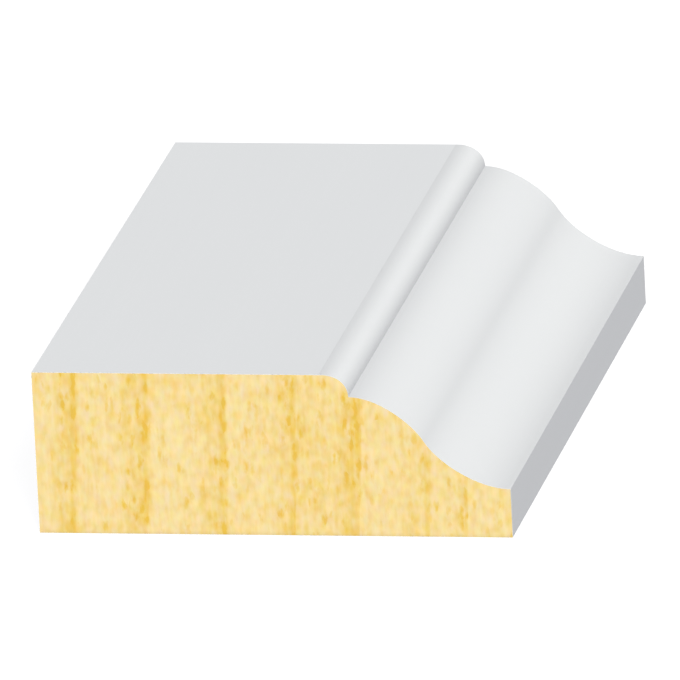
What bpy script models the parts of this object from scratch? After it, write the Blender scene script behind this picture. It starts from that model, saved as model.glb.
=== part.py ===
"""Door stop moulding: one strip of primed pine with a small bead and an ogee along its face.

Metres, +Z up. The strip lies on its back, the side that is nailed to the door jamb, with its
length along Y and its thin nose edge towards +X. The origin is at the middle of the back.
"""

import math

import bpy
from mathutils import Vector

# Overall size: 1-1/4 in wide, 7/16 in thick, and the 2 in length that is shown
WIDTH = 0.03175
THICKNESS = 0.01111
LENGTH = 0.0508

# Moulded side of the face, whose flat band takes up the rest of the width
NOSE_HEIGHT = 0.00335
OGEE_WIDTH = 0.01055
BEAD_WIDTH = 0.00185
BEAD_DROP = 0.0015

# Form of the ogee: its knee as shares of its width and drop, and the slope of its flank there
KNEE_ALONG = 0.463
KNEE_DOWN = 0.481
FLANK_ANGLE = math.radians(59.7)

# Fullness of the curves: how far each one keeps its direction, as a share of its own run
BEAD_PULL = 0.6
LEVEL_PULL = 0.388
FLANK_PULL = 0.293
STEPS_PER_CURVE = 16

# Primer white, a satin factory coat
PRIMER_COLOUR = (0.83, 0.845, 0.845, 1.0)
PRIMER_ROUGHNESS = 0.5


def clear_scene():
    for scene_object in list(bpy.data.objects):
        bpy.data.objects.remove(scene_object, do_unlink=True)


def profile_knots():
    """The outline of the cut end, clockwise from the thick edge's foot.

    Each knot is its point and its two handles. A handle of None runs straight to its neighbour.
    """
    thick_side = -WIDTH / 2
    nose_side = WIDTH / 2
    nose_top = Vector((nose_side, NOSE_HEIGHT))
    quirk = Vector((nose_side - OGEE_WIDTH, THICKNESS - BEAD_DROP))
    bead_top = Vector((quirk.x - BEAD_WIDTH, THICKNESS))
    knee = Vector((quirk.x + OGEE_WIDTH * KNEE_ALONG, quirk.y - (quirk.y - NOSE_HEIGHT) * KNEE_DOWN))
    upper_run = knee.x - quirk.x
    lower_run = nose_top.x - knee.x
    flank = Vector((math.cos(FLANK_ANGLE), -math.sin(FLANK_ANGLE)))
    level = Vector((1, 0))
    upright = Vector((0, 1))
    return [
        (Vector((thick_side, 0)), None, None),
        (Vector((thick_side, THICKNESS)), None, None),
        (bead_top, None, bead_top + level * BEAD_WIDTH * BEAD_PULL),
        (quirk, quirk + upright * BEAD_DROP * BEAD_PULL, quirk + level * upper_run * LEVEL_PULL),
        (knee, knee - flank * upper_run * FLANK_PULL, knee + flank * lower_run * FLANK_PULL),
        (nose_top, nose_top - level * lower_run * LEVEL_PULL, None),
        (Vector((nose_side, 0)), None, None),
    ]


def place_handle(knot, side, point):
    """Sets one handle of a knot, to a point or straight towards its neighbour."""
    setattr(knot, f"handle_{side}_type", "VECTOR" if point is None else "FREE")
    if point is not None:
        setattr(knot, f"handle_{side}", point.to_3d())


def make_strip(collection):
    """Extrudes the profile along the length, half of it to each side of the origin."""
    curve = bpy.data.curves.new("door_stop_moulding", "CURVE")
    curve.dimensions = "2D"
    curve.fill_mode = "BOTH"
    curve.resolution_u = STEPS_PER_CURVE
    curve.extrude = LENGTH / 2

    knots = profile_knots()
    spline = curve.splines.new("BEZIER")
    spline.bezier_points.add(len(knots) - 1)
    spline.use_cyclic_u = True
    for knot, (point, left, right) in zip(spline.bezier_points, knots):
        knot.co = point.to_3d()
        place_handle(knot, "left", left)
        place_handle(knot, "right", right)

    strip = bpy.data.objects.new("door_stop_moulding", curve)
    strip.rotation_euler = (math.radians(90), 0, 0)
    collection.objects.link(strip)
    return strip


def make_primer():
    primer = bpy.data.materials.new("primed_pine")
    primer.use_nodes = True
    surface = primer.node_tree.nodes["Principled BSDF"]
    surface.inputs["Base Color"].default_value = PRIMER_COLOUR
    surface.inputs["Roughness"].default_value = PRIMER_ROUGHNESS
    surface.inputs["Metallic"].default_value = 0.0
    return primer


clear_scene()
parts = bpy.data.collections.new("door_stop_moulding")
bpy.context.scene.collection.children.link(parts)
moulding = make_strip(parts)
moulding.data.materials.append(make_primer())
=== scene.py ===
"""Looks of a door stop moulding: a short length of primed pine lying on a pale floor."""

import math

import bmesh
import bpy
from mathutils import Matrix, Vector, noise


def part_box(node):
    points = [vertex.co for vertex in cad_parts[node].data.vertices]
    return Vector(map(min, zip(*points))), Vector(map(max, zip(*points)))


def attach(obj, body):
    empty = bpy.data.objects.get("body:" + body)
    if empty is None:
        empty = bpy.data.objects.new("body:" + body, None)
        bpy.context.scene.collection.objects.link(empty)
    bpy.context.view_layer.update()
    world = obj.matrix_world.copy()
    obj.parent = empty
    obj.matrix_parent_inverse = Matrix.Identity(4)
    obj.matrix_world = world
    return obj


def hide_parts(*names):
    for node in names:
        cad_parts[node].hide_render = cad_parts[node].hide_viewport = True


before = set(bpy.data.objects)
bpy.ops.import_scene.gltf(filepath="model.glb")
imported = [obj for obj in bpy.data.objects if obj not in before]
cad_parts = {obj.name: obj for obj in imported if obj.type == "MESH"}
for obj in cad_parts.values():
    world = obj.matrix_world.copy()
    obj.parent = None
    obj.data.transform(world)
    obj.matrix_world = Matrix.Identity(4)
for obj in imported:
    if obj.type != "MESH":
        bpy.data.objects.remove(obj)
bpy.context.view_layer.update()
low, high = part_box("door_stop_moulding")
middle = (low + high) / 2


# Strip blank
# One length of pine, run through a moulder to its profile and sawn square at both ends. The
# knife leaves the bead a hair proud of the flat band, and sanding between coats has eased the
# long arrises.
BEAD_REACH = 0.00195
BEAD_PROUD = 0.000006
BEAD_RISE_WIDTH = 0.0006
BEAD_RISE_STEPS = 6
ARRIS_EASE = 0.00002
ARRIS_STEPS = 3
LENGTH_CUTS = 24
SAME_POINT = 1e-6
FLAT_ANGLE = math.radians(0.05)
CORNER_ANGLE = math.radians(60)

strip = bmesh.new()
strip.from_mesh(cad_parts["door_stop_moulding"].data)
bmesh.ops.remove_doubles(strip, verts=strip.verts, dist=SAME_POINT)
bmesh.ops.dissolve_limit(
    strip, angle_limit=FLAT_ANGLE, verts=strip.verts, edges=strip.edges
)


def long_corners(turn_sign):
    """The sharp edges that run the whole length: outer arrises for 1, the inner quirk for -1."""
    found = []
    for edge in strip.edges:
        runs_along = abs(edge.verts[0].co.y - edge.verts[1].co.y) > (high.y - low.y) / 2
        if runs_along and turn_sign * edge.calc_face_angle_signed(0.0) > CORNER_ANGLE:
            found.append(edge)
    return found


def saw(pieces, axis, place):
    """Splits some of the strip's faces by a plane square to an axis and returns what results."""
    normal = Vector((0, 0, 0))
    normal[axis] = 1
    sawn = bmesh.ops.bisect_plane(
        strip, geom=pieces, dist=SAME_POINT, plane_co=normal * place, plane_no=normal
    )
    return sawn["geom"]


def saw_across(pieces, axis, step):
    """Saws at even steps along an axis, as close to the step asked for as comes out even."""
    cuts = round((high[axis] - low[axis]) / step)
    for cut in range(1, cuts):
        pieces = saw(pieces, axis, low[axis] + (high[axis] - low[axis]) * cut / cuts)
    return pieces


def with_rims(face):
    return [face, *face.edges, *face.verts]


def raise_bead(start, quirk):
    """Lifts the bead, steeply where it leaves the flat band and not at all at the quirk."""
    band = with_rims(max(strip.faces, key=lambda face: face.normal.z * face.calc_area()))
    for step in range(BEAD_RISE_STEPS + 1):
        band = saw(band, 0, start + BEAD_RISE_WIDTH * step / BEAD_RISE_STEPS)
    for vert in strip.verts:
        if start < vert.co.x < quirk.x + SAME_POINT and vert.co.z > quirk.z:
            left_to_rise = max(0.0, 1 - (vert.co.x - start) / BEAD_RISE_WIDTH)
            above_quirk = (vert.co.z - quirk.z) / (high.z - quirk.z)
            vert.co.z += BEAD_PROUD * (1 - left_to_rise ** 2) * above_quirk


quirk = long_corners(-1)[0].verts[0].co.copy()
bead_start = quirk.x - BEAD_REACH
raise_bead(bead_start, quirk)
bmesh.ops.bevel(
    strip, geom=long_corners(1), offset=ARRIS_EASE, offset_type="OFFSET",
    segments=ARRIS_STEPS, profile=0.5, affect="EDGES", material=-1,
)
# Cut into short stretches, so that no face is a sliver the length of the strip
whole = [*strip.verts, *strip.edges, *strip.faces]
saw_across(whole, 1, (high.y - low.y) / LENGTH_CUTS)


# Cut ends
# The saw has gone through primer and pine together. The primer shows as a thin white line
# round the bare wood, on every side but the unprimed back, and the harder late wood of each
# growth ring stands a little proud of the soft early wood.
PRIMER_FILM = 0.00001
GRAIN_STEP = 0.00025
LATE_WOOD_RISE = 0.000018
TORN_FIBRE_DEPTH = 0.00001
TORN_FIBRE_SIZE = Vector((0.0003, 0.004, 0.0008))
# Each growth ring's end, across the width from the thick edge, and how dark and hard its late
# wood and its early wood are
RINGS = (
    (0.00275, 1.05, 0.0), (0.0076, 1.1, 0.0), (0.01285, 0.85, 0.0), (0.01755, 0.9, 0.0),
    (0.0218, 1.0, 0.35), (0.0264, 0.6, 0.0), (0.029, 0.75, 0.0), (0.0313, 0.25, 0.0),
    (0.0347, 0.6, 0.05),
)
FIRST_RING_START = 2 * RINGS[0][0] - RINGS[1][0]
# How far along one ring the late wood comes in, from the end of the last ring to its own end
RING_SHAPE = (
    (0, 0.6), (0.045, 0), (0.6, 0), (0.75, 0.35), (0.9, 0.55), (0.94, 1), (0.985, 1), (1, 0.6)
)
RING_LEAN = math.tan(math.radians(2.5))
PRIMED, CUT_PINE, BACK_PINE = range(3)
FACES_DOWN = -0.999
SHARP_ANGLE = math.radians(40)


def rings_across():
    """Each growth ring's start and end, and how hard its late wood and its early wood are."""
    start = FIRST_RING_START
    for end, late, early in RINGS:
        yield start, end, late, early
        start = end


def late_wood(x, z):
    """How hard the wood is at a place on a cut end, from 0 in soft early wood to about 1."""
    across = x - low.x - RING_LEAN * (z - middle.z)
    start, end, late, early = next(ring for ring in rings_across() if across < ring[1])
    share = (across - start) / (end - start)
    for (place, part), (next_place, next_part) in zip(RING_SHAPE, RING_SHAPE[1:]):
        if share <= next_place:
            part += (next_part - part) * (share - place) / (next_place - place)
            return early + (late - early) * part


def grain_end(side):
    """Insets the primer's line round one end, grids the bare wood and raises its grain."""
    end = max(strip.faces, key=lambda face: side * face.calc_center_median().y)
    line = bmesh.ops.inset_region(
        strip, faces=[end], thickness=PRIMER_FILM, use_boundary=True, use_even_offset=True
    )
    for face in line["faces"]:
        if face.calc_center_median().z < low.z + PRIMER_FILM:
            face.material_index = CUT_PINE
    wood = saw_across(with_rims(end), 0, GRAIN_STEP)
    wood = saw_across(wood, 2, GRAIN_STEP)
    for face in wood:
        if isinstance(face, bmesh.types.BMFace):
            face.material_index = CUT_PINE
    for vert in wood:
        if isinstance(vert, bmesh.types.BMVert) and not any(
            face.material_index == PRIMED for face in vert.link_faces
        ):
            torn = noise.noise(Vector(a / b for a, b in zip(vert.co, TORN_FIBRE_SIZE)))
            rise = LATE_WOOD_RISE * late_wood(vert.co.x, vert.co.z) + TORN_FIBRE_DEPTH * torn
            vert.co.y += side * rise


grain_end(-1)
grain_end(1)
for face in strip.faces:
    if face.normal.z < FACES_DOWN:
        face.material_index = BACK_PINE
    face.smooth = True
for edge in strip.edges:
    edge.smooth = edge.calc_face_angle() < SHARP_ANGLE

strip_mesh = bpy.data.meshes.new("moulding_strip")
strip.to_mesh(strip_mesh)
strip.free()
moulding = bpy.data.objects.new("moulding_strip", strip_mesh)
bpy.context.scene.collection.objects.link(moulding)
# The wide flat faces keep their own direction, and the narrow eased ones turn between them
even_faces = moulding.modifiers.new("even_faces", "WEIGHTED_NORMAL")
even_faces.keep_sharp = True
# The white faces throw no glow on one another, so the bead and the quirk shade crisply
moulding.visible_diffuse = False


# White primer
# A sprayed and sanded factory coat, satin and very even. The bead, the ogee and the nose are
# painted a touch greyer than the flat band, as painted shade. Close to, it has a fine spray
# stipple, and the grain and cutter lines of the pine just show through it along the length.
PRIMER_WHITE = (0.87, 0.884, 0.879, 1)
PRIMER_SHADE = (0.855, 0.868, 0.866, 1)
COAT_CLOUD_SIZE = (0.006, 0.03, 0.006)
# Painted shade: how much greyer the bead, the ogee and the nose are than the flat band, and how
# softly that starts at the bead
MOULDED_PAINTED_SHADE = 0.915
PAINTED_SHADE_EDGE = 0.00002
STIPPLE_SIZE = (0.0003, 0.0003, 0.0003)
GRAIN_LINE_SIZE = (0.0006, 0.03, 0.0006)
STIPPLE_SHARE = 0.5
COAT_RELIEF = 0.000006
COAT_ROUGHNESS = (0.56, 0.64)
COAT_SPECULAR = 0.25


class Nodes:
    """Adds nodes to one material. An input is a value or another node's output."""

    def __init__(self, name):
        self.material = bpy.data.materials.new(name)
        self.material.use_nodes = True
        self.tree = self.material.node_tree
        self.surface = self.tree.nodes["Principled BSDF"]
        self.place = self.tree.nodes.new("ShaderNodeTexCoord").outputs["Object"]

    def fill(self, node, inputs):
        for name, value in inputs.items():
            if isinstance(value, bpy.types.NodeSocket):
                self.tree.links.new(value, node.inputs[name])
            else:
                node.inputs[name].default_value = value

    def add(self, kind, inputs, **settings):
        node = self.tree.nodes.new(kind)
        for name, value in settings.items():
            setattr(node, name, value)
        self.fill(node, inputs)
        return node

    def along(self, axis):
        """Where a point lies along X, Y or Z."""
        return self.add("ShaderNodeSeparateXYZ", {0: self.place}).outputs[axis]

    def marked_out(self, size, start):
        """The place in units of a mark's size, in metres, counted from a start of its own."""
        scale = [1 / s for s in size]
        mapping = self.add("ShaderNodeMapping", {0: self.place, "Scale": scale, "Location": start})
        return mapping.outputs[0]

    def grain(self, size, detail=2.0, roughness=0.5, start=(0, 0, 0)):
        """Noise from 0 to 1 whose marks are about as long as size says."""
        inputs = {
            0: self.marked_out(size, start), "Scale": 1.0, "Detail": detail, "Roughness": roughness,
        }
        return self.add("ShaderNodeTexNoise", inputs).outputs["Fac"]

    def spots(self, size, start=(0, 0, 0)):
        """Round spots, one to a cell of about the given size: the distance from the nearest and
        a number from 0 to 1 that is its own."""
        inputs = {"Vector": self.marked_out(size, start), "Scale": 1.0}
        cells = self.add("ShaderNodeTexVoronoi", inputs)
        own = self.add("ShaderNodeSeparateColor", {0: cells.outputs["Color"]}).outputs[0]
        return cells.outputs["Distance"], own

    def span(self, value, from_low, from_high, to_low=0.0, to_high=1.0):
        """Maps a value from one range to another, and holds it at the ends."""
        inputs = {0: value, 1: from_low, 2: from_high, 3: to_low, 4: to_high}
        return self.add("ShaderNodeMapRange", inputs).outputs[0]

    def combine(self, operation, first, second=0.0):
        return self.add("ShaderNodeMath", {0: first, 1: second}, operation=operation).outputs[0]

    def total(self, first, *others):
        for other in others:
            first = self.combine("ADD", first, other)
        return first

    def blend(self, share, first, second):
        node = self.add("ShaderNodeMix", {}, data_type="RGBA")
        self.fill(node, {0: share, 6: first, 7: second})
        return node.outputs[2]

    def tint(self, colour, share, first, second):
        """Multiplies a colour by a tint between two, each close to white."""
        node = self.add("ShaderNodeMix", {}, data_type="RGBA", blend_type="MULTIPLY")
        self.fill(node, {0: 1.0, 6: colour, 7: self.blend(share, first, second)})
        return node.outputs[2]

    def ramp(self, share, stops, between="LINEAR"):
        """Looks a value from 0 to 1 up along a row of colours, each given with its place."""
        node = self.add("ShaderNodeValToRGB", {0: share})
        node.color_ramp.interpolation = between
        row = node.color_ramp.elements
        for (place, colour), stop in zip((stops[0], stops[-1]), row):
            stop.position, stop.color = place, colour
        for place, colour in stops[1:-1]:
            row.new(place).color = colour
        return node.outputs[0]

    def finish(self, colour, roughness, specular, relief, depth):
        """Gives the surface its colour, gloss and fine relief, and returns the material."""
        bump = self.add("ShaderNodeBump", {"Height": relief, "Distance": depth, "Strength": 1.0})
        self.fill(self.surface, {
            "Base Color": colour, "Roughness": roughness, "Specular IOR Level": specular,
            "Normal": bump.outputs[0],
        })
        return self.material


def grey(tone):
    return tone, tone, tone, 1


def primer_colour_with_painted_shade(nodes):
    coat = nodes.blend(nodes.grain(COAT_CLOUD_SIZE), PRIMER_SHADE, PRIMER_WHITE)
    # Painted shade: the faces past the bead's start are greyed
    painted_shade_share = nodes.span(nodes.along("X"), bead_start - PAINTED_SHADE_EDGE, bead_start + PAINTED_SHADE_EDGE)
    return nodes.tint(coat, painted_shade_share, grey(1.0), grey(MOULDED_PAINTED_SHADE))


def white_primer():
    nodes = Nodes("white_primer")
    stipple = nodes.grain(STIPPLE_SIZE, detail=3.0)
    grain_lines = nodes.grain(GRAIN_LINE_SIZE, detail=3.0, roughness=0.6)
    roughness = nodes.span(stipple, 0.3, 0.7, *COAT_ROUGHNESS)
    relief = nodes.total(nodes.combine("MULTIPLY", stipple, STIPPLE_SHARE), grain_lines)
    return nodes.finish(primer_colour_with_painted_shade(nodes), roughness, COAT_SPECULAR, relief, COAT_RELIEF)


# Bare pine
# Soft yellow pine. On the cut ends the growth rings stand upright and each darkens to its late
# wood and stops short, under a mottling of cut fibres from cream to honey and short ragged
# spots. On the back the rings run lengthwise, and primer has drifted over its two long edges.
MOTTLE_SIZE = Vector((0.0005, 0.012, 0.00078))
MOTTLE_DEPTH = 0.7
STREAK_SIZE = Vector((0.00024, 0.03, 0.0020))
STREAK_DEPTH = 0.27
CLOUD_SIZE = Vector((0.0028, 0.03, 0.004))
CLOUD_DEPTH = 0.2
PATCH_SIZE = Vector((0.003, 0.03, 0.002))
PATCH_FAINT, PATCH_STRONG = 0.55, 1.35
RING_WANDER_SIZE = Vector((0.002, 0.05, 0.003))
RING_WANDER = 0.00014
SPOT_SIZE = Vector((0.00042, 0.006, 0.00095))
SPOT_RIM, SPOT_CORE = 0.55, 0.05
SPOT_RAGGEDNESS = 0.33
SPOT_LATE_SHARE = 0.35
SPOT_FAINT, SPOT_FULL = 0.5, 1.2
SPOT_DEPTH = 1.7
# The wood's colour from tone to tone, where 0 is plain early wood and 1 is late wood
PALEST, DARKEST = -1.0, 2.0
PINE_TONES = (
    (PALEST, (0.872, 0.72, 0.405, 1)), (0.0, (0.842, 0.652, 0.297, 1)),
    (1.0, (0.80, 0.56, 0.15, 1)), (1.7, (0.765, 0.485, 0.07, 1)),
)
BLUSH, STRAW = (0.965, 0.972, 1.09, 1), (1.035, 1.026, 0.91, 1)
ROSE, REED = (1.02, 0.972, 1.02, 1), (0.98, 1.028, 0.98, 1)
FIBRE_SIZE = Vector((0.0002, 0.006, 0.0004))
FIBRE_DEPTH = 0.00001
# Roughness in early wood and in late wood, which is denser and takes a better polish
SAWN_ROUGHNESS, SAWN_SPECULAR = (0.85, 0.7), 0.2
PLANED_ROUGHNESS, PLANED_SPECULAR = (0.8, 0.65), 0.25
OVERSPRAY_REACH = 0.0013
OVERSPRAY_FLECK_SIZE = (0.0004, 0.0012, 0.001)


def either_way(nodes, grain, depth):
    """Grain as a change of tone, from lighter to darker by about the depth given."""
    return nodes.span(grain, 0.2, 0.8, -depth, depth)


def growth_rings(nodes):
    """The same rings, wandering a little: 0 in early wood and about 1 in late wood."""
    above_middle = nodes.combine("SUBTRACT", nodes.along("Z"), middle.z)
    leaning = nodes.combine("MULTIPLY", above_middle, -RING_LEAN)
    wander = nodes.grain(RING_WANDER_SIZE, detail=3.0)
    wander = nodes.span(wander, 0.25, 0.75, -RING_WANDER, RING_WANDER)
    across = nodes.total(nodes.along("X"), leaning, wander)
    rings = list(rings_across())
    rings_crossed = nodes.total(
        0.0, *(nodes.span(across, low.x + start, low.x + end) for start, end, _, _ in rings)
    )
    along_ring = nodes.combine("FRACT", rings_crossed)
    shape = nodes.ramp(along_ring, [(at, grey(part)) for at, part in RING_SHAPE])
    last_end = rings[-1][1]
    whole = nodes.span(across, low.x, low.x + last_end)
    starts = [max(start, 0) / last_end for start, _, _, _ in rings]
    late = [(at, grey(late)) for at, (_, _, late, _) in zip(starts, rings)]
    early = [(at, grey(early)) for at, (_, _, _, early) in zip(starts, rings)]
    return nodes.blend(
        shape, nodes.ramp(whole, early, "CONSTANT"), nodes.ramp(whole, late, "CONSTANT")
    )


def fibre_spots(nodes, late):
    """Short ragged spots from 0 to 1, each of its own strength and more of them in late wood."""
    distance, strength = nodes.spots(SPOT_SIZE)
    ragged = nodes.grain(SPOT_SIZE * 0.5, detail=2.0, start=(5, 1, 8))
    ragged = nodes.span(ragged, 0.25, 0.75, -SPOT_RAGGEDNESS, SPOT_RAGGEDNESS)
    form = nodes.span(nodes.total(distance, ragged), SPOT_RIM, SPOT_CORE)
    strength = nodes.total(strength, nodes.combine("MULTIPLY", late, SPOT_LATE_SHARE))
    return nodes.combine("MULTIPLY", form, nodes.span(strength, SPOT_FAINT, SPOT_FULL))


def pine_colour(nodes):
    """The bare wood's colour, and the late wood in it."""
    patches = nodes.grain(PATCH_SIZE, detail=1.0, start=(3, 2, 6))
    patches = nodes.span(patches, 0.3, 0.7, PATCH_FAINT, PATCH_STRONG)
    late = nodes.combine("MULTIPLY", growth_rings(nodes), patches)
    mottle = nodes.grain(MOTTLE_SIZE, detail=1.0, roughness=0.35, start=(7, 3, 5))
    streak = nodes.grain(STREAK_SIZE, detail=1.0, start=(1, 6, 2))
    cloud = nodes.grain(CLOUD_SIZE, detail=1.0, start=(4, 4, 7))
    tone = nodes.total(
        late,
        either_way(nodes, mottle, MOTTLE_DEPTH),
        either_way(nodes, streak, STREAK_DEPTH),
        either_way(nodes, cloud, CLOUD_DEPTH),
        nodes.combine("MULTIPLY", fibre_spots(nodes, late), SPOT_DEPTH),
    )
    stops = [((at - PALEST) / (DARKEST - PALEST), shade) for at, shade in PINE_TONES]
    colour = nodes.ramp(nodes.span(tone, PALEST, DARKEST), stops)
    for size, start, tints in (
        (MOTTLE_SIZE, (2, 9, 4), (BLUSH, STRAW)), (MOTTLE_SIZE * 0.8, (8, 4, 1), (ROSE, REED)),
    ):
        hue = nodes.span(nodes.grain(size, detail=1.0, start=start), 0.25, 0.75)
        colour = nodes.tint(colour, hue, *tints)
    return colour, late


def cut_pine():
    nodes = Nodes("cut_pine")
    colour, late = pine_colour(nodes)
    roughness = nodes.span(late, 0.0, 1.0, *SAWN_ROUGHNESS)
    fibres = nodes.grain(FIBRE_SIZE, detail=3.0)
    return nodes.finish(colour, roughness, SAWN_SPECULAR, fibres, FIBRE_DEPTH)


def back_pine():
    nodes = Nodes("back_pine")
    colour, late = pine_colour(nodes)
    inset = nodes.combine("SUBTRACT", high.x, nodes.combine("ABSOLUTE", nodes.along("X")))
    drift = nodes.span(nodes.grain(OVERSPRAY_FLECK_SIZE, detail=4.0), 0.3, 0.7, 0.3, 1.0)
    reach = nodes.combine("DIVIDE", inset, nodes.combine("MULTIPLY", drift, OVERSPRAY_REACH))
    sprayed = nodes.span(reach, 0.7, 1.0, 1.0, 0.0)
    # The drifted primer takes the primer's colour, painted shade included
    colour = nodes.blend(sprayed, colour, primer_colour_with_painted_shade(nodes))
    roughness = nodes.span(late, 0.0, 1.0, *PLANED_ROUGHNESS)
    fibres = nodes.grain(FIBRE_SIZE, detail=3.0)
    return nodes.finish(colour, roughness, PLANED_SPECULAR, fibres, FIBRE_DEPTH)


strip_mesh.materials.append(white_primer())
strip_mesh.materials.append(cut_pine())
strip_mesh.materials.append(back_pine())
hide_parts("door_stop_moulding")
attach(moulding, "root")


# Floor
# A plain pale sweep, much larger than the strip. It glows a little and throws no shadow, so
# that it stays light and even and lets the lights below the horizon through.
FLOOR_SIZE = 4.0
FLOOR_TONE = grey(0.2)
FLOOR_GLOW = 0.93


def pale_floor():
    sheet = bmesh.new()
    bmesh.ops.create_grid(sheet, x_segments=1, y_segments=1, size=FLOOR_SIZE / 2)
    mesh = bpy.data.meshes.new("floor")
    sheet.to_mesh(mesh)
    sheet.free()
    mesh.transform(Matrix.Translation((0, 0, low.z)))
    nodes = Nodes("pale_floor")
    nodes.fill(nodes.surface, {
        "Base Color": FLOOR_TONE, "Roughness": 1.0, "Specular IOR Level": 0.0,
        "Emission Color": grey(1.0), "Emission Strength": FLOOR_GLOW,
    })
    mesh.materials.append(nodes.material)
    floor = bpy.data.objects.new("floor", mesh)
    bpy.context.scene.collection.objects.link(floor)
    floor.visible_diffuse = False
    floor.visible_glossy = False
    floor.visible_shadow = False


pale_floor()


# Lights
# Plain soft studio light: a large key at the right of the camera and above it, a dim one behind
# that lays a satin sheen along the bead and the ogee, light thrown up off the floor from the
# right and, for the sides that face away, from behind on the left, and a dim even surround.
SURROUND = 0.209
SURROUND_TINT = (0.98, 0.985, 1.18, 1)
# Each light's name, the way towards it with its strength as the length, its spread in degrees,
# its tint and whether it shows in the coat's gloss
LIGHTS = (
    ("key_light", (0.427, -0.92, 0.631), 20, (1, 1, 0.956), True),
    ("crest_light", (0.029, 0.136, 0.042), 20, (1, 1, 1), True),
    ("low_light", (0.036, 0, -0.076), 10, (1, 1, 1), False),
    ("back_light", (-0.6, 0.8, -0.2), 10, (1, 1, 1), False),
)

for name, towards, spread, tint, shows_in_gloss in LIGHTS:
    towards = Vector(towards)
    lamp = bpy.data.lights.new(name, "SUN")
    lamp.energy = towards.length * math.pi
    lamp.angle = math.radians(spread)
    lamp.color = tint
    sun = bpy.data.objects.new(name, lamp)
    sun.rotation_mode = "QUATERNION"
    sun.rotation_quaternion = towards.to_track_quat("Z", "Y")
    sun.visible_glossy = shows_in_gloss
    bpy.context.scene.collection.objects.link(sun)

# The surround lights the strip, and the camera sees plain white past the floor's edge
world = bpy.data.worlds.new("studio")
world.use_nodes = True
studio = world.node_tree
surround = studio.nodes["Background"]
surround.inputs["Strength"].default_value = SURROUND
surround.inputs["Color"].default_value = SURROUND_TINT
white = studio.nodes.new("ShaderNodeBackground")
white.inputs["Color"].default_value = grey(1.0)
seen = studio.nodes.new("ShaderNodeLightPath")
either = studio.nodes.new("ShaderNodeMixShader")
studio.links.new(seen.outputs["Is Camera Ray"], either.inputs[0])
studio.links.new(surround.outputs[0], either.inputs[1])
studio.links.new(white.outputs[0], either.inputs[2])
studio.links.new(either.outputs[0], studio.nodes["World Output"].inputs[0])
bpy.context.scene.world = world


# Camera
# A long lens from the front, right and above, turned a little so that the cut end's long
# edges lie level.
CAMERA_AZIMUTH = math.radians(11.37)
CAMERA_ELEVATION = math.radians(17.5)
CAMERA_TURN = math.radians(2.94)
FRAME_WIDTH = 0.0453
SENSOR = 36.0
LENS = 1600.0
CLIP_START, CLIP_END = 0.1, 10.0
# How far the middle of the strip stands from the middle of the picture, right and up
AIM_OFFSET = (0.00013, 0.00017)

aside = Vector((math.cos(CAMERA_AZIMUTH), math.sin(CAMERA_AZIMUTH), 0))
back = Vector((
    math.sin(CAMERA_AZIMUTH) * math.cos(CAMERA_ELEVATION),
    -math.cos(CAMERA_AZIMUTH) * math.cos(CAMERA_ELEVATION),
    math.sin(CAMERA_ELEVATION),
))
turn = Matrix.Rotation(-CAMERA_TURN, 3, back)
aside = turn @ aside
upward = back.cross(aside)
target = middle - aside * AIM_OFFSET[0] - upward * AIM_OFFSET[1]

lens = bpy.data.cameras.new("camera")
lens.sensor_width = SENSOR
lens.lens = LENS
lens.clip_start, lens.clip_end = CLIP_START, CLIP_END
camera = bpy.data.objects.new("camera", lens)
place = Matrix((aside, upward, back)).transposed().to_4x4()
place.translation = target + back * FRAME_WIDTH * LENS / SENSOR
camera.matrix_world = place
bpy.context.scene.collection.objects.link(camera)
bpy.context.scene.camera = camera
bpy.context.scene.view_settings.view_transform = "Standard"
